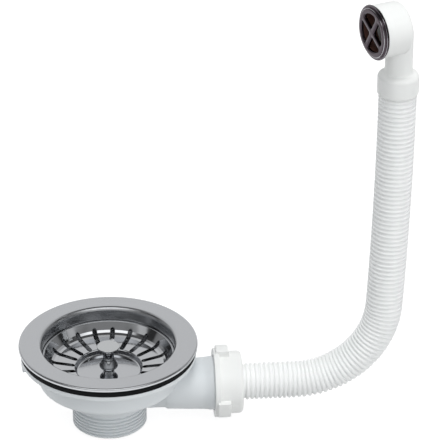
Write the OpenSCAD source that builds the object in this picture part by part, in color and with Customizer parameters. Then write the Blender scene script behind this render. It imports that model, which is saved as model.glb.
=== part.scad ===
// Sink basket strainer waste with an overflow hose and rose.
// The origin is the centre of the plane where the sink is clamped, between the two rim washers.
// Z runs up the waste's own axis, and X runs out along the overflow branch.

/* [Strainer bowl] */
// Inside diameter of the bowl
bowl_d = 84.6; // [82:0.2:88]
// Width of the flange that shows in the sink, outside the bowl
flange_w = 14.7; // [12:0.1:18]
// Depth of the flange's turned-down edge
flange_lip = 2; // [1.6:0.1:2.6]
// Radius of the bowl's rounded mouth
bowl_mouth_r = 3; // [1.4:0.1:4]
// Thickness of the pressed steel
steel_t = 0.7; // [0.5:0.1:0.9]
// Depth of the bowl, from the flange's top to the seat that the plug closes on
bowl_depth = 25; // [23:0.5:30]
// Diameter of the sunk centre of the bowl's floor
sump_d = 37.6; // [35:0.2:38.4]
// Depth of the sunk centre below the seat
sump_depth = 6.2; // [5.6:0.1:8]
// Number of outlet openings in the sunk centre
outlet_count = 6; // [4:1:8]
// Width of a spoke between two outlet openings, in degrees
spoke_angle = 18; // [12:1:26]

/* [Rim washers] */
// Thickness of the washer above the sink
rim_seal_t = 2.9; // [2.4:0.1:4]
// Thickness of the washer below the sink
body_seal_t = 3; // [2:0.1:5]
// Distance that the washers and the body's rim lie inside the flange's edge
rim_inset = 1.2; // [1:0.1:4]
// Gap between the washer above the sink and the bowl
rim_seal_gap = 2.3; // [1:0.1:5]
// Gap between the washer below the sink and the bowl
body_seal_gap = 1.4; // [1:0.1:5]

/* [Basket] */
// Gap between the basket's rim and the bowl
basket_gap = 0.4; // [0.3:0.1:1]
// Height of the basket, from its rim to its sunk floor
basket_h = 12.8; // [11:0.1:15]
// Depth of the basket's sunk floor below the slotted ring's inner edge
well_depth = 3.6; // [3:0.1:5]
// Distance that the basket's wall leans in, from the rim to the slotted ring
basket_taper = 5.7; // [3:0.1:8]
// Radius of the corner between the basket's wall and the slotted ring
basket_corner_r = 6; // [3:0.1:8]
// Width of the slotted ring, from the wall to the sunk floor
ring_w = 15.2; // [13:0.1:17]
// Rise of the slotted ring, from the sunk floor to the wall
ring_rise = 2; // [0:0.1:3]
// Number of slots
slot_count = 20; // [14:1:22]
// Width of a slot
slot_w = 3.2; // [2:0.1:3.6]
// Distance of the slots' outer ends inside the basket's rim
slot_end_inset = 3.1; // [2:0.1:4]
// Distance between the sunk floor's edge and the slots' inner ends
slot_margin = 0.6; // [0.4:0.1:2]
// Turn of the slots about the waste's axis, in degrees
slot_phase = 11.5; // [0:0.5:18]

/* [Knob and plug] */
// Height of the knob above the sunk floor
knob_h = 18.6; // [16:0.1:22]
// Diameter of the knob's flat top
knob_d = 14.5; // [12:0.1:18]
// Diameter of the knob's neck
knob_neck_d = 7.1; // [6.6:0.1:8]
// Diameter of the knob's bulge
knob_bulge_d = 11.5; // [10:0.1:14]
// Diameter of the plug's pin
pin_d = 5; // [4:0.1:5.4]
// Length of the pin that is screwed into the knob
pin_grip = 9.4; // [7:0.1:12]
// Length of the pin below the plug washer
pin_drop = 22; // [18:0.5:24]
// Diameter of the plug washer
plug_seal_d = 50; // [44:0.5:60]
// Thickness of the plug washer
plug_seal_t = 2; // [1.4:0.1:3]
// Diameter of the plate under the plug washer
plate_d = 24; // [16:0.5:26]
// Thickness of the plate under the plug washer
plate_t = 1; // [0.6:0.1:1.2]
// Width of the pin's nut across its flats
nut_af = 8; // [7:0.1:10]
// Thickness of the pin's nut
nut_t = 2.2; // [1.6:0.1:2.4]
// Length of the spring sleeve on the pin
clip_h = 6; // [4:0.5:8]

/* [Clamping screw] */
// Outside diameter of the screw's shank
screw_d = 9.8; // [9:0.1:11]
// Diameter of the screw's head
screw_head_d = 15; // [13:0.1:16.4]
// Thickness of the screw's head
screw_head_t = 1.6; // [1.2:0.1:1.8]
// Diameter of the hole in the screw that takes the pin
screw_bore_d = 7.2; // [6.6:0.1:7.6]
// Length of the screw under its head
screw_l = 22.4; // [20:0.1:23]
// Diameter of the washer under the screw's head
screw_washer_d = 17; // [15:0.1:18]
// Thickness of the washer under the screw's head
screw_washer_t = 1; // [0.8:0.1:1.2]
// Outside diameter of the threaded insert in the body
insert_d = 13.6; // [12.6:0.1:14.6]
// Length of the threaded insert
insert_l = 16; // [10:0.5:18]

/* [Waste body] */
// Thickness of the body's rim
rim_t = 3.2; // [2.4:0.1:5]
// Wall of the body's bowl
body_wall = 1.8; // [1.5:0.1:3]
// Width of the tab under the rim, opposite the branch, in degrees
tab_angle = 20; // [10:1:40]
// Drop of that tab below the rim
tab_drop = 4.6; // [2:0.1:8]
// Outside diameter of the threaded outlet
tail_d = 47.6; // [46:0.1:50]
// Wall of the threaded outlet
tail_wall = 3.6; // [2.6:0.05:3.8]
// Length of the outlet's threaded end
thread_l = 9.7; // [6:0.1:12]
// Length of the outlet below the bowl
tail_l = 31; // [28:0.5:36]
// Diameter of the boss that holds the insert
boss_d = 18.4; // [17.4:0.1:19.2]
// Number of ribs that carry the boss
rib_count = 3; // [2:1:6]
// Thickness of a rib
rib_t = 2.4; // [1.6:0.1:3.2]

/* [Overflow branch] */
// Depth of the branch's axis below the bowl's outside floor
branch_drop = 6.5; // [5:0.1:8]
// Distance from the waste's axis to the branch's open end
branch_l = 79; // [74:0.5:86]
// Inside diameter of the branch
branch_bore_d = 24.8; // [22:0.2:26]
// Outside diameter of the branch beside the outlet
branch_root_d = 29; // [28.4:0.1:30]
// Length of the branch's narrow stretch beside the outlet
branch_root_l = 11; // [6:0.5:16]
// Step down from the branch's thread to its collar
branch_collar_step = 0.7; // [0.3:0.1:1.2]
// Outside diameter of the branch's threaded end
branch_thread_d = 36; // [35.6:0.1:37]

/* [Union nut] */
// Thickness of the nut's barrel over the branch's thread
union_wall = 2.1; // [1.8:0.1:3.5]
// Thickness of the ring at the nut's open end
union_ring_w = 4.3; // [3.8:0.1:5]
// Length of the nut
union_l = 18.2; // [17:0.1:22]
// Height of the nut's lugs over the branch's thread
lug_h = 6.3; // [5.4:0.1:9]
// Width of a lug, in degrees
lug_angle = 31; // [20:1:50]
// Number of lugs
lug_count = 3; // [2:1:4]
// Turn of the lugs about the branch, in degrees
lug_turn = 20; // [0:1:120]

/* [Overflow hose] */
// Diameter over the hose's ribs
hose_d = 23.6; // [22.6:0.1:24.2]
// Depth of the grooves between the ribs
hose_groove = 1.4; // [0.8:0.1:1.6]
// Inside diameter of the hose
hose_bore_d = 18.4; // [17:0.1:18.8]
// Distance from one rib to the next
hose_pitch = 3; // [2.8:0.1:4]
// Distance from the waste's axis to the start of the bend
bend_start = 119; // [112:0.5:140]
// Radius of the bend
bend_r = 57; // [48:1:80]
// Length of the rising stretch, which straightens the last few degrees
rise_l = 160; // [120:1:220]
// Angle turned by the bend itself
bend_angle = 87; // [84:0.5:89]

/* [Overflow elbow] */
// Outside diameter of the socket that takes the hose
socket_d = 25.6; // [24.8:0.1:28]
// Depth of the socket
socket_depth = 11; // [9:0.5:16]
// Outside diameter of the elbow's neck
neck_d = 17; // [15:0.1:18]
// Wall of the neck and of the head
elbow_wall = 2.2; // [1.8:0.1:2.6]
// Height of the head's axis above the socket's bottom of bore
head_rise = 33.4; // [30:0.1:44]
// Outside diameter of the head
head_d = 32.8; // [31:0.1:33.4]
// Distance from the neck's axis to the head's open end
head_front = 17; // [14:0.1:20]
// Distance from the neck's axis to the head's back
head_back = 1; // [0.5:0.1:3]
// Turn of the head from the side towards the front, in degrees
head_turn = 23; // [-90:1:90]

/* [Overflow rose] */
// Outside diameter of the rose
rose_d = 34.3; // [34:0.1:38]
// Thickness of the rose
rose_t = 2.4; // [2:0.1:4]
// Diameter of the rose's open centre
rose_open_d = 24.4; // [20:0.1:25]
// Width of a bar of the rose's cross
cross_w = 2.6; // [2:0.1:4]
// Turn of the cross, in degrees
cross_turn = 60; // [0:1:90]
// Length of the rose's spigot
spigot_l = 7; // [4:0.1:8]
// Thickness of the rose's washer
rose_seal_t = 1; // [0.8:0.1:2.4]

/* [Hidden] */
$fn = 96;

// Clearances
fit = 0.1;
slide_fit = 0.08;
touch_gap = 0.3;
cut = 1;

// Radius of small rounded edges, and of softer ones
edge_r = 0.3;
soft_edge_r = 0.5;

// Heights of the clamped stack
flange_top = rim_seal_t + steel_t;
seat_z = flange_top - bowl_depth;
floor_z = seat_z - steel_t;
sump_z = seat_z - sump_depth;
body_top = -body_seal_t;
rim_bottom = body_top - rim_t;
body_floor_z = floor_z - body_wall;
tail_end = body_floor_z - tail_l;

// Radii of the bowl, the washers and the body
bowl_r = bowl_d / 2;
flange_r = bowl_r + flange_w;
shell_r = bowl_r + steel_t;
cup_r = shell_r + 2 * fit;
body_r = cup_r + body_wall;
rim_r = flange_r - rim_inset;
flange_edge_r = 1.4;
bowl_corner_r = 3;
tail_r = tail_d / 2;
tail_bore_r = tail_r - tail_wall;
tail_bevel = 1;
neck_step = 1;

// Plug stack, hung from the basket's floor
plug_gap = touch_gap;
plug_bottom = seat_z + plug_gap;
well_under = plug_bottom + plug_seal_t;
well_z = well_under + steel_t;
ring_z = well_z + well_depth;
basket_top = well_z + basket_h;
basket_r = bowl_r - basket_gap;
ring_r = basket_r - basket_taper;
well_r = ring_r - ring_w;
basket_lip = 1;
knob_top = well_z + knob_h;
plate_z = plug_bottom - plate_t;
pin_bottom = plug_bottom - pin_drop;
pin_r = pin_d / 2;

// Clamping screw
screw_seat = sump_z + screw_washer_t;
screw_top = screw_seat + screw_head_t;
screw_end = screw_seat - screw_l;
screw_blind = 3;
screw_hole_r = screw_d / 2 + 4 * fit;
coin_slot_w = 1.6;
coin_slot_t = 0.9;
boss_top = sump_z - steel_t - fit;
boss_end = screw_end - 1;
insert_top = boss_top - 1.6;

// Overflow branch, nut and the start of the hose
branch_z = body_floor_z - branch_drop;
branch_collar_l = 5;
branch_thread_l = 11;
branch_washer_t = 2;
hose_flange_t = 1.6;
hose_start = branch_l + branch_washer_t;
union_lip_x = hose_start + hose_flange_t + fit;
union_lip_t = 2.5;
union_end = union_lip_x + union_lip_t;
union_start = union_end - union_l;
union_ring_l = 3.6;
lug_first = lug_turn - lug_angle / 2 - 90;
lug_l = 8.3;
lug_inset = 1.5;

// Hose route: level, then the bend, then the stretch that straightens up to the socket
hose_r = hose_d / 2;
hose_bore_r = hose_bore_d / 2;
hose_sides = 20;
hose_cuff = 4.4;
level_l = bend_start - hose_start;
bend_l = bend_r * bend_angle * PI / 180;
rise_r = rise_l / ((90 - bend_angle) * PI / 180);
hose_l = level_l + bend_l + rise_l;
hose_end = route(hose_l);

// Elbow
socket_r = socket_d / 2;
socket_bore_r = hose_r - hose_groove + fit;
socket_mouth = hose_end[1] - socket_depth;
neck_r = neck_d / 2;
head_r = head_d / 2;
head_z = hose_end[1] + head_rise;
head_bore_r = head_r - elbow_wall - fit;
shoulder_z = hose_end[1] + 2.4;

steel = [0.75, 0.76, 0.77];
chrome = [0.82, 0.83, 0.85];
dark_chrome = [0.45, 0.42, 0.45];
white = [0.93, 0.93, 0.92];
black = [0.09, 0.1, 0.11];
brass = [0.8, 0.65, 0.35];

// Outline helpers: a corner is [x, y, radius], and a rounded corner becomes a short arc
function unit(v) = v / norm(v);
function side(a, b, c) = sign(cross(b - a, c - b));
function xy(p) = [p[0], p[1]];
function corner_centre(a, b, c, r) =
    let (u = unit(a - b), v = unit(c - b), half = acos(u * v) / 2) b + unit(u + v) * r / sin(half);
function corner_arc(a, b, c, r) =
    let (m = corner_centre(a, b, c, r), turned = 180 - acos(unit(a - b) * unit(c - b)))
    let (start = b + unit(a - b) * r * tan(turned / 2) - m, steps = max(2, ceil(turned / 18)))
    let (first = atan2(start[1], start[0]), way = side(a, b, c))
    [for (i = [0:steps]) m + r * [cos(first + way * turned * i / steps), sin(first + way * turned * i / steps)]];

// A closed outline whose corners are rounded
function rounded(pts) =
    let (n = len(pts))
    [for (i = [0:n - 1])
        let (a = xy(pts[(i + n - 1) % n]), b = xy(pts[i]), c = xy(pts[(i + 1) % n]), r = pts[i][2])
        each (is_undef(r) || r == 0 ? [b] : corner_arc(a, b, c, r))];

// Points along a bent line, each with the direction of its left side
function bent_line(pts) =
    let (n = len(pts))
    [for (i = [0:n - 1])
        let (b = xy(pts[i]))
        let (a = i > 0 ? xy(pts[i - 1]) : b, c = i < n - 1 ? xy(pts[i + 1]) : b, r = pts[i][2])
        each (i == 0 || i == n - 1
            ? let (d = unit(c - a)) [[b, [-d[1], d[0]]]]
            : let (m = corner_centre(a, b, c, r), way = side(a, b, c))
              [for (p = corner_arc(a, b, c, r)) [p, way * unit(m - p)]])];

// The section of a bent sheet: the line itself, and the same line set off to its left
function sheet(pts, t) =
    let (w = bent_line(pts), n = len(w))
    concat([for (q = w) q[0]], [for (i = [n - 1:-1:0]) w[i][0] + t * w[i][1]]);

module turned(outline) {
    rotate_extrude() polygon(outline);
}

module ring(inner_r, outer_r, low, high, edge = edge_r) {
    turned(rounded([[inner_r, low], [outer_r, low, edge], [outer_r, high, edge], [inner_r, high]]));
}

// Stands a shape turned about Z along the overflow branch, with its Z running along X
module along_branch() {
    translate([0, 0, branch_z]) rotate([0, 90, 0]) children();
}

module strainer_bowl() {
    sump_r = sump_d / 2;
    sump_taper = 2.2;
    outlet_margin = 1;
    outlet_in = screw_washer_d / 2 + outlet_margin;
    outlet_out = sump_r - sump_taper - outlet_margin;
    bay = 360 / outlet_count;
    color(steel) difference() {
        turned(sheet([
            [flange_r, flange_top - flange_lip],
            [flange_r, flange_top, flange_edge_r],
            [bowl_r, flange_top, bowl_mouth_r],
            [bowl_r, seat_z, bowl_corner_r],
            [sump_r, seat_z, 1.2],
            [sump_r - sump_taper, sump_z, 1],
            [screw_hole_r, sump_z]
        ], steel_t));
        for (i = [0:outlet_count - 1])
            rotate(i * bay + spoke_angle / 2)
                rotate_extrude(angle = bay - spoke_angle)
                    translate([outlet_in, sump_z - steel_t - cut])
                        square([outlet_out - outlet_in, steel_t + 2 * cut]);
    }
}

module rim_seal() {
    color(black) ring(shell_r + rim_seal_gap, rim_r, 0, rim_seal_t);
}

module body_seal() {
    color(black) ring(shell_r + body_seal_gap, rim_r, body_top, 0);
}

// The branch's outside, from inside the outlet to its threaded end
module branch_outside() {
    root_r = branch_root_d / 2;
    thread_r = branch_thread_d / 2;
    collar_r = thread_r - branch_collar_step;
    root_l = tail_r + branch_root_l;
    flare = 1;
    collar_bevel = 0.4;
    thread_bevel = 0.8;
    collar_x = branch_l - branch_thread_l - branch_collar_l;
    thread_x = branch_l - branch_thread_l;
    along_branch() turned([
        [0, boss_d / 2],
        [root_r, boss_d / 2],
        [root_r, root_l],
        [root_r + flare, root_l + 2 * flare],
        [collar_r - collar_bevel, collar_x],
        [collar_r, collar_x + 2 * collar_bevel],
        [collar_r, thread_x - branch_collar_step / 2],
        [thread_r, thread_x + branch_collar_step / 2],
        [thread_r, branch_l - thread_bevel],
        [thread_r - thread_bevel, branch_l],
        [0, branch_l]
    ]);
}

// The overflow water's way: along the branch, under the bowl's floor and into the outlet
module overflow_way() {
    way_lead = 5.2;
    way_start = tail_bore_r - way_lead;
    difference() {
        along_branch() translate([0, 0, way_start])
            cylinder(r = branch_bore_d / 2, h = branch_l - way_start + cut);
        translate([0, 0, body_floor_z]) cylinder(r = body_r, h = bowl_depth);
    }
}

module waste_body() {
    tab_t = 3.4;
    tab_r = rim_r - touch_gap;
    rib_top = boss_top - 0.4;
    rib_end = boss_end + 2;
    rib_l = tail_bore_r + tail_wall / 2;
    insert_r = insert_d / 2;
    color(white) {
        difference() {
            union() {
                turned(rounded([
                    [0, body_top],
                    [rim_r, body_top, soft_edge_r],
                    [rim_r, rim_bottom, 0.8],
                    [body_r, rim_bottom, 1.5],
                    [body_r, body_floor_z, 3],
                    [tail_r - neck_step, body_floor_z, 1],
                    [tail_r - neck_step, tail_end + thread_l + neck_step],
                    [tail_r, tail_end + thread_l],
                    [tail_r, tail_end + tail_bevel],
                    [tail_r - tail_bevel, tail_end],
                    [0, tail_end]
                ]));
                branch_outside();
                rotate(180 - tab_angle / 2) rotate_extrude(angle = tab_angle)
                    translate([tab_r - tab_t, rim_bottom - tab_drop]) square([tab_t, tab_drop + cut]);
            }
            turned(rounded([
                [0, body_top + cut],
                [cup_r, body_top + cut],
                [cup_r, floor_z, 2],
                [tail_bore_r, floor_z],
                [tail_bore_r, tail_end - cut],
                [0, tail_end - cut]
            ]));
            overflow_way();
        }
        difference() {
            union() {
                translate([0, 0, boss_end]) cylinder(d = boss_d, h = boss_top - boss_end);
                for (i = [0:rib_count - 1])
                    rotate(180 + i * 360 / rib_count) translate([0, -rib_t / 2, rib_end])
                        cube([rib_l, rib_t, rib_top - rib_end]);
            }
            translate([0, 0, boss_end - cut])
                cylinder(d = screw_d + 4 * fit, h = boss_top - boss_end + 2 * cut);
            translate([0, 0, insert_top - insert_l]) cylinder(r = insert_r, h = insert_l);
        }
    }
}

module thread_insert() {
    color(brass) ring(screw_d / 2 + fit, insert_d / 2 - fit / 2, insert_top - insert_l + fit,
                      insert_top - fit, 0.4);
}

module clamp_screw() {
    bore_r = screw_bore_d / 2;
    color(brass) difference() {
        turned(rounded([
            [bore_r, screw_top, 0.4],
            [bore_r, screw_end + screw_blind],
            [0, screw_end + screw_blind],
            [0, screw_end],
            [screw_d / 2, screw_end, 0.8],
            [screw_d / 2, screw_seat],
            [screw_head_d / 2, screw_seat, edge_r],
            [screw_head_d / 2, screw_top, soft_edge_r]
        ]));
        translate([-screw_head_d, -coin_slot_w / 2, screw_top - coin_slot_t])
            cube([2 * screw_head_d, coin_slot_w, coin_slot_t + cut]);
    }
}

module screw_washer() {
    color(steel) ring(screw_hole_r, screw_washer_d / 2, sump_z, screw_seat, 0.2);
}

// A slot in plan, with round ends, cut right through the basket's ring and wall
module basket_slot() {
    slot_r = slot_w / 2;
    inner = well_r + slot_margin + slot_r;
    outer = basket_r - slot_end_inset - slot_r;
    translate([0, 0, ring_z - steel_t - cut]) {
        translate([inner, -slot_r, 0]) cube([outer - inner, slot_w, basket_h]);
        translate([inner, 0, 0]) cylinder(r = slot_r, h = basket_h, $fn = 32);
        translate([outer, 0, 0]) cylinder(r = slot_r, h = basket_h, $fn = 32);
    }
}

module basket() {
    color(steel) difference() {
        turned(sheet([
            [basket_r, basket_top],
            [basket_r - basket_lip, basket_top, 0.5],
            [ring_r, ring_z + ring_rise, basket_corner_r],
            [well_r + 0.3, ring_z, 1.2],
            [well_r - 0.4, well_z, 1],
            [pin_r + fit, well_z]
        ], steel_t));
        for (i = [0:slot_count - 1])
            rotate(i * 360 / slot_count + slot_phase) basket_slot();
    }
}

module knob() {
    neck_r = knob_neck_d / 2;
    bulge_r = knob_bulge_d / 2;
    foot_r = neck_r + 0.25;
    foot_h = 1.1;
    cap_edge = 0.8;
    cap_h = 2.8;
    bulge_z = well_z + 4.2;
    neck_end = well_z + 0.52 * knob_h;
    color(chrome) turned(rounded([
        [0, knob_top],
        [knob_d / 2, knob_top, edge_r],
        [knob_d / 2, knob_top - cap_edge, 0.2],
        [neck_r, knob_top - cap_h, 1.5],
        [neck_r, neck_end, 4],
        [bulge_r + 0.4, bulge_z, 1.6],
        [foot_r, well_z + foot_h, 0.6],
        [foot_r, well_z],
        [pin_r + fit / 2, well_z],
        [pin_r + fit / 2, well_z + pin_grip + fit],
        [0, well_z + pin_grip + fit + 1]
    ]));
}

module basket_pin() {
    color(steel) turned(rounded([
        [0, pin_bottom],
        [pin_r, pin_bottom, 1],
        [pin_r, well_z + pin_grip, 0.4],
        [0, well_z + pin_grip]
    ]));
}

module plug_seal() {
    color(black) ring(pin_r + fit, plug_seal_d / 2, plug_bottom, well_under, 0.7);
}

module plug_plate() {
    color(steel) ring(pin_r + fit, plate_d / 2, plate_z, plug_bottom, 0.2);
}

module pin_nut() {
    color(steel) difference() {
        translate([0, 0, plate_z - nut_t]) cylinder(d = nut_af / cos(30), h = nut_t, $fn = 6);
        translate([0, 0, plate_z - nut_t - cut]) cylinder(r = pin_r + fit / 2, h = nut_t + 2 * cut);
    }
}

// A split sleeve that grips the screw's bore and holds the basket up
module spring_sleeve() {
    split_angle = 40;
    inner = pin_r + fit / 2;
    outer = screw_bore_d / 2 - slide_fit;
    sleeve_end = pin_bottom + 2;
    color(white) rotate(split_angle / 2) rotate_extrude(angle = 360 - split_angle)
        polygon(rounded([
            [inner, sleeve_end],
            [outer, sleeve_end, edge_r],
            [outer, sleeve_end + clip_h, edge_r],
            [inner, sleeve_end + clip_h]
        ]));
}

module branch_washer() {
    color(black) along_branch()
        ring(branch_bore_d / 2, branch_thread_d / 2 - 4 * fit, branch_l, hose_start);
}

module union_nut() {
    barrel_r = branch_thread_d / 2 + union_wall;
    end_ring_r = branch_thread_d / 2 + union_ring_w;
    lug_r = branch_thread_d / 2 + lug_h;
    thread_r = branch_thread_d / 2 + 1.5 * fit;
    color(white) along_branch() {
        turned(rounded([
            [thread_r, union_start],
            [end_ring_r, union_start, soft_edge_r],
            [end_ring_r, union_start + union_ring_l, 0.4],
            [barrel_r, union_start + union_ring_l],
            [barrel_r, union_end, 2.5],
            [hose_r + 5 * fit, union_end, 0.4],
            [hose_r + 5 * fit, union_lip_x],
            [thread_r, union_lip_x]
        ]));
        for (i = [0:lug_count - 1])
            rotate(lug_first + i * 360 / lug_count) rotate_extrude(angle = lug_angle)
                polygon(rounded([
                    [barrel_r - 0.6, union_start + lug_inset],
                    [lug_r, union_start + lug_inset, 0.8],
                    [lug_r, union_start + lug_inset + lug_l, 0.8],
                    [barrel_r - 0.6, union_start + lug_inset + lug_l]
                ]));
    }
}

// Place and heading of the hose's centre line at a length along it: [x, z, heading]
function route(s) =
    s <= level_l ? [hose_start + s, branch_z, 0]
    : s <= level_l + bend_l
        ? let (a = (s - level_l) / bend_r * 180 / PI)
          [bend_start + bend_r * sin(a), branch_z + bend_r * (1 - cos(a)), a]
        : let (a = bend_angle + (s - level_l - bend_l) / rise_r * 180 / PI)
          [bend_start + bend_r * sin(bend_angle) + rise_r * (sin(a) - sin(bend_angle)),
           branch_z + bend_r * (1 - cos(bend_angle)) + rise_r * (cos(bend_angle) - cos(a)), a];

// Points of a ring across the route
function hose_ring(s, r) =
    let (p = route(s))
    [for (i = [0:hose_sides - 1])
        let (a = i * 360 / hose_sides, out = r * cos(a), up = r * sin(a))
        [p[0] - up * sin(p[2]), out, p[1] + up * cos(p[2])]];

// Stations of the hose: a flange, a plain cuff, the ribs and the plain end in the elbow
function hose_stations() =
    let (ribs_from = hose_flange_t + hose_cuff, ribs_to = hose_l - socket_depth - 0.5)
    let (count = floor((ribs_to - ribs_from) / hose_pitch), low = hose_r - hose_groove)
    concat(
        [[0, branch_thread_d / 2 - 5 * fit], [hose_flange_t, branch_thread_d / 2 - 5 * fit],
         [hose_flange_t, hose_r], [ribs_from - hose_pitch / 2, hose_r]],
        [for (k = [0:count - 1]) each [[ribs_from + k * hose_pitch, low],
                                       [ribs_from + (k + 0.5) * hose_pitch, hose_r]]],
        [[ribs_from + count * hose_pitch, low], [hose_l, low]]);

module overflow_hose() {
    outside = hose_stations();
    bore_steps = ceil(hose_l / 6);
    inside = [for (k = [0:bore_steps]) [hose_l * k / bore_steps, hose_bore_r]];
    n = hose_sides;
    outer_n = len(outside);
    points = [for (q = concat(outside, inside)) each hose_ring(q[0], q[1])];
    function strip(first, count, way) =
        [for (k = [first:first + count - 2], i = [0:n - 1])
            let (a = k * n + i, b = k * n + (i + 1) % n, c = b + n, d = a + n)
            each (way > 0 ? [[a, b, c], [a, c, d]] : [[a, c, b], [a, d, c]])];
    function cap(outer, inner, way) =
        [for (i = [0:n - 1])
            let (a = outer * n + i, b = outer * n + (i + 1) % n, c = inner * n + (i + 1) % n, d = inner * n + i)
            each (way > 0 ? [[a, b, c], [a, c, d]] : [[a, c, b], [a, d, c]])];
    color(white) polyhedron(points, concat(
        strip(0, outer_n, 1),
        strip(outer_n, len(inside), -1),
        cap(0, outer_n, -1),
        cap(outer_n - 1, outer_n + len(inside) - 1, 1)));
}

// Sets a shape turned about Z on the head's axis, with its Z running out of the head's open end
module along_head() {
    translate([hose_end[0], 0, head_z]) rotate([0, -90, head_turn]) children();
}

module overflow_elbow() {
    neck_bore_r = neck_r - elbow_wall;
    mouth_bevel = 0.8;
    dome_z = head_z - neck_r / 2;
    color(white) difference() {
        union() {
            translate([hose_end[0], 0, 0]) {
                turned(rounded([
                    [0, socket_mouth],
                    [socket_r - mouth_bevel, socket_mouth],
                    [socket_r, socket_mouth + 1.5 * mouth_bevel],
                    [socket_r, shoulder_z, 3],
                    [neck_r, shoulder_z + 1, 1],
                    [neck_r, dome_z],
                    [0, dome_z]
                ]));
                translate([0, 0, dome_z]) sphere(r = neck_r);
            }
            along_head() turned(rounded([
                [0, -head_back],
                [head_r, -head_back, 3],
                [head_r, head_front, 0.4],
                [0, head_front]
            ]));
        }
        translate([hose_end[0], 0, 0]) {
            translate([0, 0, socket_mouth - cut])
                cylinder(r = socket_bore_r, h = socket_depth + cut + fit);
            translate([0, 0, hose_end[1]]) cylinder(r = neck_bore_r, h = dome_z - hose_end[1]);
            translate([0, 0, dome_z]) sphere(r = neck_bore_r);
        }
        along_head() translate([0, 0, elbow_wall - head_back])
            cylinder(r = head_bore_r, h = head_front + head_back);
    }
}

module overflow_seal() {
    color(black) along_head()
        ring(head_bore_r + fit, head_r, head_front, head_front + rose_seal_t, 0.2);
}

module overflow_rose() {
    back = head_front + rose_seal_t;
    front = back + rose_t;
    rose_r = rose_d / 2;
    open_r = rose_open_d / 2;
    bar_t = 1.8;
    spigot_r = head_bore_r - 2 * fit;
    edge_step = 1.4;
    edge_t = 0.7;
    color(dark_chrome) along_head() {
        turned(rounded([
            [open_r, back - spigot_l],
            [spigot_r, back - spigot_l, 0.4],
            [spigot_r, back],
            [rose_r, back, 0.2],
            [rose_r, back + edge_t, edge_r],
            [rose_r - edge_step, back + edge_t + 0.2, 0.2],
            [rose_r - edge_step, back + 2 * edge_t, edge_r],
            [open_r + 1, front, 1],
            [open_r, front, 0.3]
        ]));
        intersection() {
            translate([0, 0, front - bar_t - 0.2]) cylinder(r = open_r + 0.5, h = bar_t);
            for (a = [0, 90])
                rotate(cross_turn + a) translate([-rose_r, -cross_w / 2, 0])
                    cube([rose_d, cross_w, front]);
        }
    }
}

strainer_bowl();
rim_seal();
body_seal();
waste_body();
thread_insert();
clamp_screw();
screw_washer();
basket();
knob();
basket_pin();
plug_seal();
plug_plate();
pin_nut();
spring_sleeve();
branch_washer();
union_nut();
overflow_hose();
overflow_elbow();
overflow_seal();
overflow_rose();
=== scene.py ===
import math

import bmesh
import bpy
import numpy as np
from mathutils import Matrix

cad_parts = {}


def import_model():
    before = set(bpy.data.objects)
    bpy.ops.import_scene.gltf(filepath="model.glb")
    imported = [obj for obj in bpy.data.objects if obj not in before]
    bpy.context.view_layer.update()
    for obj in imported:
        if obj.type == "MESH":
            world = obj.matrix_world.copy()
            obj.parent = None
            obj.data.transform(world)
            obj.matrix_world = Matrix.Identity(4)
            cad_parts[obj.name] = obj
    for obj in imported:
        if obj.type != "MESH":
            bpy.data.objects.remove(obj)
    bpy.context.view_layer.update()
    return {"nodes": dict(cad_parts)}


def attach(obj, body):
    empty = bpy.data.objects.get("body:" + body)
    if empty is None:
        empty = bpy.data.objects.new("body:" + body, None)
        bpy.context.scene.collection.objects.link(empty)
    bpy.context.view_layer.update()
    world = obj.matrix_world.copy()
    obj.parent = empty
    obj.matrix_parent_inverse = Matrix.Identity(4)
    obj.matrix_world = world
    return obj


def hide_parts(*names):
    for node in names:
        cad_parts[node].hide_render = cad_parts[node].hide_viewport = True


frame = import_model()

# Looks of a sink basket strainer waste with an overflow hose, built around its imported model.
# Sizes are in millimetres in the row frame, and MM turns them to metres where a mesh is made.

NODES = frame["nodes"]
MM = 0.001


# ---------------------------------------------------------------- colours and materials

def linear(hex_colour):
    """The scene-linear RGBA of an sRGB colour written as six hex digits."""
    out = []
    for k in (0, 2, 4):
        c = int(hex_colour[k:k + 2], 16) / 255
        out.append(c / 12.92 if c <= 0.04045 else ((c + 0.055) / 1.055) ** 2.4)
    return (*out, 1.0)


def add(tree, kind, links=None, **settings):
    """A new node with its settings, socket values and links. A socket is named with spaces as underscores."""
    node = tree.nodes.new(kind)
    for name, value in settings.items():
        if hasattr(node, name):
            setattr(node, name, value)
        else:
            node.inputs[name.replace("_", " ")].default_value = value
    for name, source in (links or {}).items():
        tree.links.new(source, node.inputs[name])
    return node


def material(name, colour, rough, metallic=0.0, grain=0.0, grain_scale=400, wear=0.0, **shader):
    """A principled material with a little procedural grain, and roughness that varies by wear."""
    mat = bpy.data.materials.new(name)
    mat.use_nodes = True
    tree = mat.node_tree
    tree.nodes.clear()
    place = add(tree, "ShaderNodeTexCoord").outputs["Object"]
    links = {}
    if grain:
        fine = add(tree, "ShaderNodeTexNoise", {"Vector": place}, Scale=grain_scale, Detail=3.0)
        bump = add(tree, "ShaderNodeBump", {"Height": fine.outputs["Fac"]}, Strength=grain, Distance=0.0002)
        links["Normal"] = bump.outputs["Normal"]
    if wear:
        broad = add(tree, "ShaderNodeTexNoise", {"Vector": place}, Scale=45.0, Detail=4.0)
        band = add(tree, "ShaderNodeMapRange", {"Value": broad.outputs["Fac"]},
                   From_Min=0.3, From_Max=0.7, To_Min=rough, To_Max=rough + wear)
        links["Roughness"] = band.outputs["Result"]
    surface = add(tree, "ShaderNodeBsdfPrincipled", links, Base_Color=linear(colour), Metallic=metallic,
                  Roughness=rough, **shader)
    add(tree, "ShaderNodeOutputMaterial", {"Surface": surface.outputs["BSDF"]})
    return mat


# Stainless sheet, pressed and polished to a satin shine: the bowl
STEEL = material("stainless_pressed_satin", "c2c4c7", 0.24, 1.0, wear=0.03)
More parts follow.
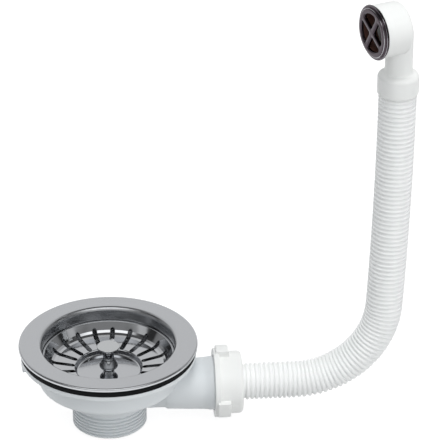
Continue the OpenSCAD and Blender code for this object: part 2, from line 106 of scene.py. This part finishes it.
# The same sheet, electropolished: the basket
STEEL_BRIGHT = material("stainless_pressed_bright", "c2c4c7", 0.07, 1.0, wear=0.03)
# Stainless rod and plate, turned or stamped and left bright
STEEL_TURNED = material("stainless_turned", "b9babc", 0.22, 1.0, wear=0.06)
# Chrome plate over turned brass: the knob
CHROME = material("chrome_plated_turned", "c6c8ca", 0.05, 1.0)
# Chrome plate over moulded plastic. Its dark base colour is a painted reflection of a dark warm room
CHROME_PAINTED_DARK_REFLECTION = material("chrome_plated_moulded_painted_dark_reflection", "4a4248", 0.1, 1.0, wear=0.04)
# Painted shade: a dark brown for the recess behind the rose's plate, where little light reaches
PAINTED_SHADE_BROWN = material("painted_shade_brown_inside_rose", "5a3a30", 0.5)
# Polypropylene, injection moulded with a satin surface: the body, in a cooler tone of its own, and greyer
# than the rest as painted shade from the flange above it
COOL_WHITE_PAINTED_SHADE = material("polypropylene_moulded_cool_white_painted_shade", "e0e4e6", 0.36, grain=0.05, wear=0.06,
                      Subsurface_Weight=0.08, Subsurface_Radius=(0.002, 0.002, 0.002))
# The same plastic in white: elbow, split sleeve and union nut
WHITE = material("polypropylene_moulded_satin", "eff0ee", 0.36, grain=0.05, wear=0.06,
                 Subsurface_Weight=0.08, Subsurface_Radius=(0.002, 0.002, 0.002))
# Polyethylene, extruded and corrugated: the hose
HOSE = material("polyethylene_corrugated", "f7f8f7", 0.42, grain=0.04, wear=0.05,
                Subsurface_Weight=0.3, Subsurface_Radius=(0.003, 0.003, 0.003))
# Black nitrile rubber, moulded with a matt skin: washers
RUBBER = material("nitrile_rubber_moulded", "07090b", 0.7, grain=0.15, grain_scale=900, wear=0.1,
                  Specular_IOR_Level=0.15)
# Brass, turned: clamping screw and insert
BRASS = material("brass_turned", "c9a55c", 0.25, 1.0, wear=0.08)


# ---------------------------------------------------------------- mesh helpers

def make(name, mesh, mat, body, slot, *nodes):
    """Puts a mesh in the scene as a piece that rides on a body and stands for CAD nodes."""
    piece = bpy.data.objects.new(name, mesh)
    bpy.context.scene.collection.objects.link(piece)
    mesh.materials.clear()
    mesh.materials.append(mat)
    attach(piece, body)
    if nodes:
        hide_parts(*nodes)
    return piece


def smooth(mesh, angle=32):
    """Shades a mesh smooth, apart from edges that turn by more than the angle in degrees."""
    bm = bmesh.new()
    bm.from_mesh(mesh)
    bm.normal_update()
    for f in bm.faces:
        f.smooth = True
    for e in bm.edges:
        e.smooth = len(e.link_faces) == 2 and e.calc_face_angle() < math.radians(angle)
    bm.to_mesh(mesh)
    bm.free()
    return mesh


def grid_faces(rows, cols, wrap_rows, wrap_cols, first=0):
    """Quads of a grid of rows by cols points, numbered row by row."""
    r = np.arange(rows if wrap_rows else rows - 1)
    c = np.arange(cols if wrap_cols else cols - 1)
    rr, cc = np.meshgrid(r, c, indexing="ij")
    r2, c2 = (rr + 1) % rows, (cc + 1) % cols
    quads = np.stack([rr * cols + cc, rr * cols + c2, r2 * cols + c2, r2 * cols + cc], -1)
    return quads.reshape(-1, 4) + first


def mesh_of(name, points, faces, weld=0.0):
    """A smooth-shaded mesh of points in millimetres, with its faces turned outward."""
    mesh = bpy.data.meshes.new(name)
    mesh.from_pydata((np.asarray(points) * MM).tolist(), [], [list(map(int, f)) for f in faces])
    bm = bmesh.new()
    bm.from_mesh(mesh)
    if weld:
        bmesh.ops.remove_doubles(bm, verts=bm.verts, dist=weld)
    bmesh.ops.recalc_face_normals(bm, faces=bm.faces)
    bm.to_mesh(mesh)
    bm.free()
    return smooth(mesh)


def corner(a, b, c, r, step=9):
    """Points of an arc of radius r that rounds the corner b between a and c."""
    a, b, c = (np.array(p[:2], float) for p in (a, b, c))
    u, v = (a - b) / np.linalg.norm(a - b), (c - b) / np.linalg.norm(c - b)
    half = math.acos(np.clip(u @ v, -1, 1)) / 2
    mid = b + (u + v) / np.linalg.norm(u + v) * r / math.sin(half)
    start, end = b + u * r / math.tan(half) - mid, b + v * r / math.tan(half) - mid
    first = math.atan2(start[1], start[0])
    turn = math.atan2(start[0] * end[1] - start[1] * end[0], start @ end)
    n = max(2, math.ceil(abs(math.degrees(turn)) / step))
    t = first + turn * np.arange(n + 1) / n
    return mid + r * np.c_[np.cos(t), np.sin(t)]


def rounded(points):
    """An open outline of [x, y] points, whose corners with a third number are rounded by that radius."""
    out = []
    for i, p in enumerate(points):
        if len(p) > 2:
            out.extend(corner(points[i - 1], p, points[i + 1], p[2]))
        else:
            out.append(np.array(p, float))
    return np.array(out)


# ---------------------------------------------------------------- sizes of the real thing

# The outlet: its crest radius and thread, and the branch beside it
BRANCH_Z = -30.4
BRANCH_CLEAR_R = 13.6
TAIL_R = 23.8
NECK_R = 22.8
THREAD_TOP = -40.2
THREAD_LOW = -53.9
THREAD_PITCH = 2.309
THREAD_DEPTH = 1.48

# The hose and its route: a level stretch, a bend, and a rise that slowly straightens
HOSE_START = 81.0
HOSE_R = 11.8
HOSE_GROOVE = 1.4
HOSE_BORE_R = 9.2
HOSE_PITCH = 3.0
HOSE_CUFF_END = 6.0
HOSE_FLANGE_R = 17.5
HOSE_FLANGE_T = 1.6
BEND_START = 119.0
BEND_R = 57.0
BEND_ANGLE = math.radians(87)
RISE_L = 160.0
SOCKET_DEPTH = 11.0

# The overflow head, whose axis turns from -X towards -Y, and heights along it
HEAD_X = 180.11
HEAD_Z = 216.94
HEAD_TURN = math.radians(23)
ROSE_BACK = 18.0
ROSE_FRONT = 20.4
ROSE_R = 17.15
ROSE_OPEN_R = 12.0
ROSE_PLATE_T = 1.8
ROSE_BAR = 3.2
SPIGOT_R = 13.4
SPIGOT_L = 8.6
CROSS_TURN = math.radians(60)


# ---------------------------------------------------------------- pieces

def threaded_body():
    """The waste body with its outlet's plain wall swapped for a helical thread.

    The thread's surface is r = full - depth * fade * (1 - crest(p)). Here p = z / pitch - t / 2 pi is the
    place across one turn, crest goes from 0 at the root to 1 at the crest, and fade ends the thread softly.
    """
    top, low = THREAD_TOP, THREAD_LOW
    bm = bmesh.new()
    bm.from_mesh(NODES["waste_body"].data)
    bmesh.ops.remove_doubles(bm, verts=bm.verts, dist=1e-6)
    for z in (top, low):
        bmesh.ops.bisect_plane(bm, geom=bm.verts[:] + bm.edges[:] + bm.faces[:],
                               plane_co=(0, 0, z * MM), plane_no=(0, 0, 1), dist=1e-7)
    wall = []
    for f in bm.faces:
        z = f.calc_center_median().z / MM
        r = [math.hypot(v.co.x, v.co.y) / MM for v in f.verts]
        if low < z < top and min(r) > NECK_R - 0.1 and max(r) < TAIL_R + 0.1:
            wall.append(f)
    bmesh.ops.delete(bm, geom=wall, context="FACES")

    rows_per_pitch, per_turn, top_fade, low_fade, neck_l = 32, 180, 1.4, 0.7, 4.0
    rows = int((top - low) / THREAD_PITCH * rows_per_pitch) + 1
    z = np.linspace(top, low, rows)[:, None]
    t = np.linspace(0, 2 * np.pi, per_turn, endpoint=False)[None]
    place = (z / THREAD_PITCH - t / (2 * np.pi)) % 1
    across = np.abs(place - 0.5) * 2
    crest = 0.5 - 0.5 * np.cos(np.pi * np.clip((across - 0.35) / 0.3, 0, 1))
    fade = np.clip((top - z) / top_fade, 0, 1) * np.clip((z - low) / low_fade, 0, 1)
    full = NECK_R + (TAIL_R - NECK_R) * np.clip((top - z) / neck_l, 0, 1)
    r = full - THREAD_DEPTH * fade * (1 - crest)
    x, y = r * np.cos(t), r * np.sin(t)
    points = np.stack([x, y, np.broadcast_to(z, x.shape)], -1).reshape(-1, 3)
    verts = [bm.verts.new(p * MM) for p in points]
    for a, b, c, d in grid_faces(rows, per_turn, False, True):
        m = points[[a, b, c, d]].mean(0)
        if m[0] < 0 or math.hypot(m[1], m[2] - BRANCH_Z) > BRANCH_CLEAR_R:
            bm.faces.new([verts[i] for i in (a, d, c, b)])
    bmesh.ops.delete(bm, geom=[v for v in bm.verts if not v.link_faces], context="VERTS")
    mesh = bpy.data.meshes.new("waste_body_threaded")
    bm.to_mesh(mesh)
    bm.free()
    # The body's colour holds painted shade: it is greyer than the rest of the white plastic
    return make("waste_body_threaded", smooth(mesh, 30), COOL_WHITE_PAINTED_SHADE, "waste", "white_plastic", "waste_body")


def route(s):
    """Place and heading of the hose's centre line at a length s along it: level, bend, slow rise."""
    level, bend = BEND_START - HOSE_START, BEND_R * BEND_ANGLE
    rise_r = RISE_L / (math.pi / 2 - BEND_ANGLE)
    a1 = np.clip((s - level) / BEND_R, 0, BEND_ANGLE)
    a2 = BEND_ANGLE + np.clip(s - level - bend, 0, None) / rise_r
    x = HOSE_START + np.minimum(s, level) + BEND_R * np.sin(a1) + rise_r * (np.sin(a2) - math.sin(BEND_ANGLE))
    z = BRANCH_Z + BEND_R * (1 - np.cos(a1)) + rise_r * (math.cos(BEND_ANGLE) - np.cos(a2))
    return x, z, np.where(s <= level + bend, a1, a2)


def corrugated_hose():
    """The hose: rings across the route, whose radius is low + groove * (1 - |cos(pi p)| ^ 5) over a rib."""
    total = (BEND_START - HOSE_START) + BEND_R * BEND_ANGLE + RISE_L
    low = HOSE_R - HOSE_GROOVE
    per_rib, bore_rings, sides = 10, 60, 48
    ribs = int((total - SOCKET_DEPTH - 0.5 - HOSE_CUFF_END) / HOSE_PITCH)
    s = [0, 0, HOSE_FLANGE_T, HOSE_FLANGE_T, HOSE_FLANGE_T + 0.4, HOSE_CUFF_END - 1.6]
    r = [HOSE_R, HOSE_FLANGE_R, HOSE_FLANGE_R, HOSE_R + 0.2, HOSE_R, HOSE_R]
    p = np.arange(0, ribs * per_rib + 1) / per_rib
    s += list(HOSE_CUFF_END + p * HOSE_PITCH)
    r += list(low + HOSE_GROOVE * (1 - np.abs(np.cos(np.pi * p)) ** 5))
    s += [total] + list(np.linspace(total, 0, bore_rings))
    r += [low] + [HOSE_BORE_R] * bore_rings
    s, r = np.array(s, float), np.array(r, float)
    x, z, a = route(s)
    t = np.linspace(0, 2 * np.pi, sides, endpoint=False)
    out, up = r[:, None] * np.cos(t), r[:, None] * np.sin(t)
    pts = np.stack([x[:, None] - up * np.sin(a)[:, None], out, z[:, None] + up * np.cos(a)[:, None]], -1)
    mesh = mesh_of("overflow_hose_ribbed", pts.reshape(-1, 3), grid_faces(len(s), sides, True, True))
    return make("overflow_hose_ribbed", mesh, HOSE, "waste", "hose_plastic", "overflow_hose")


def sector(open_r, half_bar, soft, count):
    """Outline of a rose's opening: a quarter of a disc, clear of two bars, with corners of radius soft."""
    low, far = half_bar + soft, open_r - soft
    along = math.sqrt(far ** 2 - low ** 2)
    tip = math.atan2(low, along)
    arcs = [(low, low, soft, math.pi, 1.5 * math.pi), (along, low, soft, -math.pi / 2, tip),
            (0, 0, open_r, tip, math.pi / 2 - tip), (low, along, soft, math.pi / 2 - tip, math.pi)]
    line = []
    for x, y, r, start, end in arcs:
        t = np.linspace(start, end, 15)
        line.extend(np.c_[x + r * np.cos(t), y + r * np.sin(t)])
    line = np.array(line + line[:1])
    way = np.r_[0, np.cumsum(np.linalg.norm(np.diff(line, axis=0), axis=1))]
    even = np.linspace(0, way[-1], count, endpoint=False)
    return np.c_[np.interp(even, way, line[:, 0]), np.interp(even, way, line[:, 1])]


def quarter_frame(ring_r, count):
    """Outline of the plate's quarter round an opening: out along one bar's middle, round, and back."""
    third = count // 3
    out = np.linspace(0, 1, third, endpoint=False)
    arc = out * np.pi / 2
    zero = np.zeros(third)
    line = np.concatenate([np.c_[out, zero], np.c_[np.cos(arc), np.sin(arc)], np.c_[zero, 1 - out]])
    return line * ring_r


def rose():
    """The overflow rose: a turned rim, and a plate with four openings between the cross's bars.

    A quarter of the plate is a band between its frame and its opening: out over the front, down the
    opening's wall and back along the rear. The rim is an outline turned about the head's axis.
    """
    ring_r, half_bar, soft, edge, count = 13.0, ROSE_BAR / 2, 1.2, 0.5, 96
    front = ROSE_FRONT - 0.2
    rear = front - ROSE_PLATE_T
    frame_line = quarter_frame(ring_r, count)
    hole = sector(ROSE_OPEN_R, half_bar, soft, count)
    wide = sector(ROSE_OPEN_R + edge, half_bar - edge, soft + edge, count)
    # The opening's points start at the corner by the centre, as the frame's do
    ways = [(frame_line, front), (wide, front), ((wide + hole) / 2, front - 0.3 * edge), (hole, front - edge),
            (hole, rear), (frame_line, rear)]
    quarter = np.stack([np.c_[line, np.full(count, z)] for line, z in ways])
    points, faces, first = [], [], 0
    for k in range(4):
        a = k * np.pi / 2
        turn = np.array([[math.cos(a), math.sin(a), 0], [-math.sin(a), math.cos(a), 0], [0, 0, 1]])
        points.append((quarter @ turn).reshape(-1, 3))
        faces.append(grid_faces(len(ways), count, False, True, first))
        first += len(ways) * count
    step_r, back, end = ROSE_R - 1.4, ROSE_BACK, ROSE_BACK - SPIGOT_L
    rim = rounded([
        [ring_r, front], [step_r - 1.6, front, 1.5], [step_r - 0.6, front - 0.3, 0.3],
        [step_r - 0.4, back + 1.4, 0.2], [step_r, back + 1.3, 0.2], [step_r + 0.1, back + 0.8, 0.2],
        [ROSE_R - 0.3, back + 0.8, 0.3], [ROSE_R, back + 0.3, 0.2], [ROSE_R, back, 0.15],
        [SPIGOT_R, back, 0.3], [SPIGOT_R, end, 0.3], [ROSE_OPEN_R, end, 0.3], [ROSE_OPEN_R, rear, 0.2],
        [ring_r, rear]])
    t = np.linspace(0, 2 * np.pi, 4 * (count // 3), endpoint=False)
    turned = np.stack([rim[:, :1] * np.cos(t), rim[:, :1] * np.sin(t), np.repeat(rim[:, 1:], len(t), 1)], -1)
    points.append(turned.reshape(-1, 3))
    faces.append(grid_faces(len(rim), len(t), False, True, first))
    x, y, z = np.concatenate(points).T

    side, out, cos, sin = math.sin(HEAD_TURN), math.cos(HEAD_TURN), math.cos(CROSS_TURN), math.sin(CROSS_TURN)
    x, y = x * cos - y * sin, x * sin + y * cos
    placed = np.stack([HEAD_X - z * out - y * side, y * out - z * side, HEAD_Z + x], -1)
    mesh = mesh_of("overflow_rose_cross", placed, np.concatenate(faces), weld=1e-5)
    # The rose's dark chrome colour is a painted reflection of a dark room, not the plating's own tone
    piece = make("overflow_rose_cross", mesh, CHROME_PAINTED_DARK_REFLECTION, "waste", "dark_chrome", "overflow_rose")
    # Behind the plate the faces take a dark brown as painted shade of the recess, and the rim's two edges
    # take the bright chrome as a painted highlight
    mesh.materials.append(PAINTED_SHADE_BROWN)
    mesh.materials.append(CHROME)
    axis = np.array([-out, -side, 0.0])
    for f in mesh.polygons:
        place = np.array(f.center) / MM - np.array([HEAD_X, 0.0, HEAD_Z])
        deep = place @ axis
        r = np.linalg.norm(place - deep * axis)
        # Painted highlight: the rim's inner and outer edge bands get the bright chrome
        inner_painted_highlight = step_r - 0.9 < r < step_r - 0.5 and deep > front - 0.8
        outer_painted_highlight = r > ROSE_R - 0.3 and deep > back + 0.6
        # Painted shade: faces behind the plate, in the recess, get the dark brown
        if deep < rear + 0.1 and r < ROSE_OPEN_R + 0.2:
            f.material_index = 1
        elif inner_painted_highlight or outer_painted_highlight:
            f.material_index = 2
    return piece


threaded_body()
corrugated_hose()
rose()

PLAIN = {
    "strainer_bowl": STEEL, "basket": STEEL_BRIGHT, "basket_pin": STEEL_TURNED, "plug_plate": STEEL_TURNED,
    "pin_nut": STEEL_TURNED, "screw_washer": STEEL_TURNED, "knob": CHROME,
    "overflow_elbow": WHITE, "spring_sleeve": WHITE, "union_nut": WHITE, "rim_seal": RUBBER,
    "body_seal": RUBBER, "plug_seal": RUBBER, "branch_washer": RUBBER, "overflow_seal": RUBBER,
    "thread_insert": BRASS, "clamp_screw": BRASS,
}
for name, mat in PLAIN.items():
    NODES[name].data.materials.clear()
    NODES[name].data.materials.append(mat)


# ---------------------------------------------------------------- stage, light and camera

def background(tree):
    """Whether a ray shows the white background: 1 for those of the camera, metal and glass, or else 0."""
    path = add(tree, "ShaderNodeLightPath")
    shown = path.outputs["Is Camera Ray"]
    for kind in ("Is Glossy Ray", "Is Transmission Ray"):
        shown = add(tree, "ShaderNodeMath", {0: shown, 1: path.outputs[kind]}, operation="MAXIMUM").outputs[0]
    return shown


def floor():
    """A plain pale floor under the part, which shows as white and keeps a faint shadow."""
    mesh = bpy.data.meshes.new("floor")
    z, half = -0.0565, 3.0
    square = [(-half, -half, z), (half, -half, z), (half, half, z), (-half, half, z)]
    mesh.from_pydata(square, [], [(0, 1, 2, 3)])
    piece = bpy.data.objects.new("floor", mesh)
    bpy.context.scene.collection.objects.link(piece)
    mat = bpy.data.materials.new("floor_pale")
    mat.use_nodes = True
    tree = mat.node_tree
    tree.nodes.clear()
    lit = add(tree, "ShaderNodeBsdfDiffuse", Color=linear("c8c8c8"))
    faint = add(tree, "ShaderNodeBsdfDiffuse", Color=linear("a0a0a0"))
    white = add(tree, "ShaderNodeEmission", Color=(1, 1, 1, 1), Strength=0.85)
    shown = add(tree, "ShaderNodeAddShader", {0: faint.outputs[0], 1: white.outputs[0]})
    mix = add(tree, "ShaderNodeMixShader", {0: background(tree), 1: lit.outputs[0], 2: shown.outputs[0]})
    add(tree, "ShaderNodeOutputMaterial", {"Surface": mix.outputs[0]})
    mesh.materials.append(mat)


def world():
    """A studio's even, slightly cool surround, which the camera, metal and glass see as white."""
    w = bpy.data.worlds.new("studio")
    bpy.context.scene.world = w
    w.use_nodes = True
    tree = w.node_tree
    tree.nodes.clear()
    lit = add(tree, "ShaderNodeBackground", Color=(0.96, 0.98, 1.0, 1), Strength=0.56)
    white = add(tree, "ShaderNodeBackground", Color=(1, 1, 1, 1), Strength=1.0)
    mix = add(tree, "ShaderNodeMixShader", {0: background(tree), 1: lit.outputs[0], 2: white.outputs[0]})
    add(tree, "ShaderNodeOutputWorld", {"Surface": mix.outputs[0]})


def ramp_of(tree, value, low, high, stops):
    """A level of 1 at most, which follows a value from low to high through stops of (value, level)."""
    place = add(tree, "ShaderNodeMapRange", {"Value": value}, From_Min=low, From_Max=high)
    ramp = add(tree, "ShaderNodeValToRGB", {"Fac": place.outputs["Result"]})
    while len(ramp.color_ramp.elements) < len(stops):
        ramp.color_ramp.elements.new(0.5)
    for e, (at, level) in zip(ramp.color_ramp.elements, stops):
        e.position, e.color = (at - low) / (high - low), (level, level, level, 1)
    return ramp.outputs["Color"]


def tent():
    """A photographer's tent of grey cloth round the part, which only the metal mirrors.

    Its level follows the angle over the part in degrees, from the front's horizon at 0 to the back's
    at 180: grey in front with a bright band above, dark overhead and pale behind. It darkens to the sides.
    """
    radius, peak = 2.0, 1.7
    over_stops = ((0, 0.7), (24, 0.7), (30, 0.3), (40, 0.3), (46, 0.7), (51, 1.7), (61, 1.7), (68, 0.3),
                  (76, 0.12), (106, 0.12), (119, 0.7), (135, 0.82), (180, 0.84))
    side_stops = ((0, 1.0), (0.9, 1.0), (1.6, 0.4), (2.0, 0.3))
    mesh = bpy.data.meshes.new("tent")
    bm = bmesh.new()
    bmesh.ops.create_icosphere(bm, subdivisions=5, radius=radius)
    bm.to_mesh(mesh)
    bm.free()
    piece = bpy.data.objects.new("tent", mesh)
    bpy.context.scene.collection.objects.link(piece)
    mat = bpy.data.materials.new("tent_cloth")
    mat.use_nodes = True
    tree = mat.node_tree
    tree.nodes.clear()
    place = add(tree, "ShaderNodeSeparateXYZ", {0: add(tree, "ShaderNodeTexCoord").outputs["Object"]})
    front = add(tree, "ShaderNodeMath", {0: place.outputs["Y"]}, operation="MULTIPLY")
    front.inputs[1].default_value = -1.0
    over = add(tree, "ShaderNodeMath", {0: place.outputs["Z"], 1: front.outputs[0]}, operation="ARCTAN2")
    angle = add(tree, "ShaderNodeMath", {0: over.outputs[0]}, operation="DEGREES")
    across = add(tree, "ShaderNodeMath", {0: place.outputs["X"]}, operation="ABSOLUTE")
    level = ramp_of(tree, angle.outputs[0], 0.0, 180.0, [(at, value / peak) for at, value in over_stops])
    sides = ramp_of(tree, across.outputs[0], 0.0, radius, side_stops)
    both = add(tree, "ShaderNodeMath", {0: level, 1: sides}, operation="MULTIPLY")
    cloth = add(tree, "ShaderNodeEmission", {"Color": both.outputs[0]}, Strength=peak)
    add(tree, "ShaderNodeOutputMaterial", {"Surface": cloth.outputs[0]})
    mesh.materials.append(mat)
    for kind in ("camera", "diffuse", "transmission", "volume_scatter", "shadow"):
        setattr(piece, "visible_" + kind, False)


def softbox(name, place, target, size, power):
    """A rectangular area light that looks at a target, and which the tent hides from the metal."""
    data = bpy.data.lights.new(name, "AREA")
    data.shape, data.size, data.size_y = "RECTANGLE", size[0], size[1]
    data.energy = power
    lamp = bpy.data.objects.new(name, data)
    lamp.visible_glossy = False
    bpy.context.scene.collection.objects.link(lamp)
    back = np.array(place, float) - np.array(target, float)
    back /= np.linalg.norm(back)
    right = np.cross([0, 0, 1], back)
    right /= np.linalg.norm(right)
    lamp.matrix_world = Matrix([[*row] for row in zip(right, np.cross(back, right), back, place)]
                               + [[0, 0, 0, 1]])


def camera():
    """The photo's camera, solved from the flange, the outlet and the branch."""
    azimuth, elevation, focal, far = math.radians(-4.5), math.radians(28.9), 2800.0, 1778.0
    flange_px, flange_top, image = (108.13, 341.5), 3.6, 440
    back = np.array([math.sin(azimuth) * math.cos(elevation), -math.cos(azimuth) * math.cos(elevation),
                     math.sin(elevation)])
    right = np.array([math.cos(azimuth), math.sin(azimuth), 0.0])
    up = np.cross(back, right)
    side = (flange_px[0] - image / 2) / focal * far
    rise = -(flange_px[1] - image / 2) / focal * far
    place = (back * far - right * side - up * rise + np.array([0, 0, flange_top])) * MM
    data = bpy.data.cameras.new("photo_camera")
    data.sensor_width = 36.0
    data.lens = focal * data.sensor_width / image
    cam = bpy.data.objects.new("photo_camera", data)
    bpy.context.scene.collection.objects.link(cam)
    cam.matrix_world = Matrix([[*row] for row in zip(right, up, back, place)] + [[0, 0, 0, 1]])
    scene = bpy.context.scene
    scene.camera = cam
    scene.render.resolution_x = scene.render.resolution_y = image
    scene.render.resolution_percentage = 100
    scene.view_settings.view_transform = "Standard"


floor()
world()
tent()
softbox("overhead", (0.2, -0.35, 2.2), (0.08, 0, 0), (0.7, 0.7), 18)
softbox("front_high", (0.3, -1.8, 1.6), (0.08, 0, 0.08), (1.4, 1.0), 8)
softbox("right", (1.9, -1.5, 0.6), (0.1, 0, 0.08), (1.0, 1.2), 9)
camera()
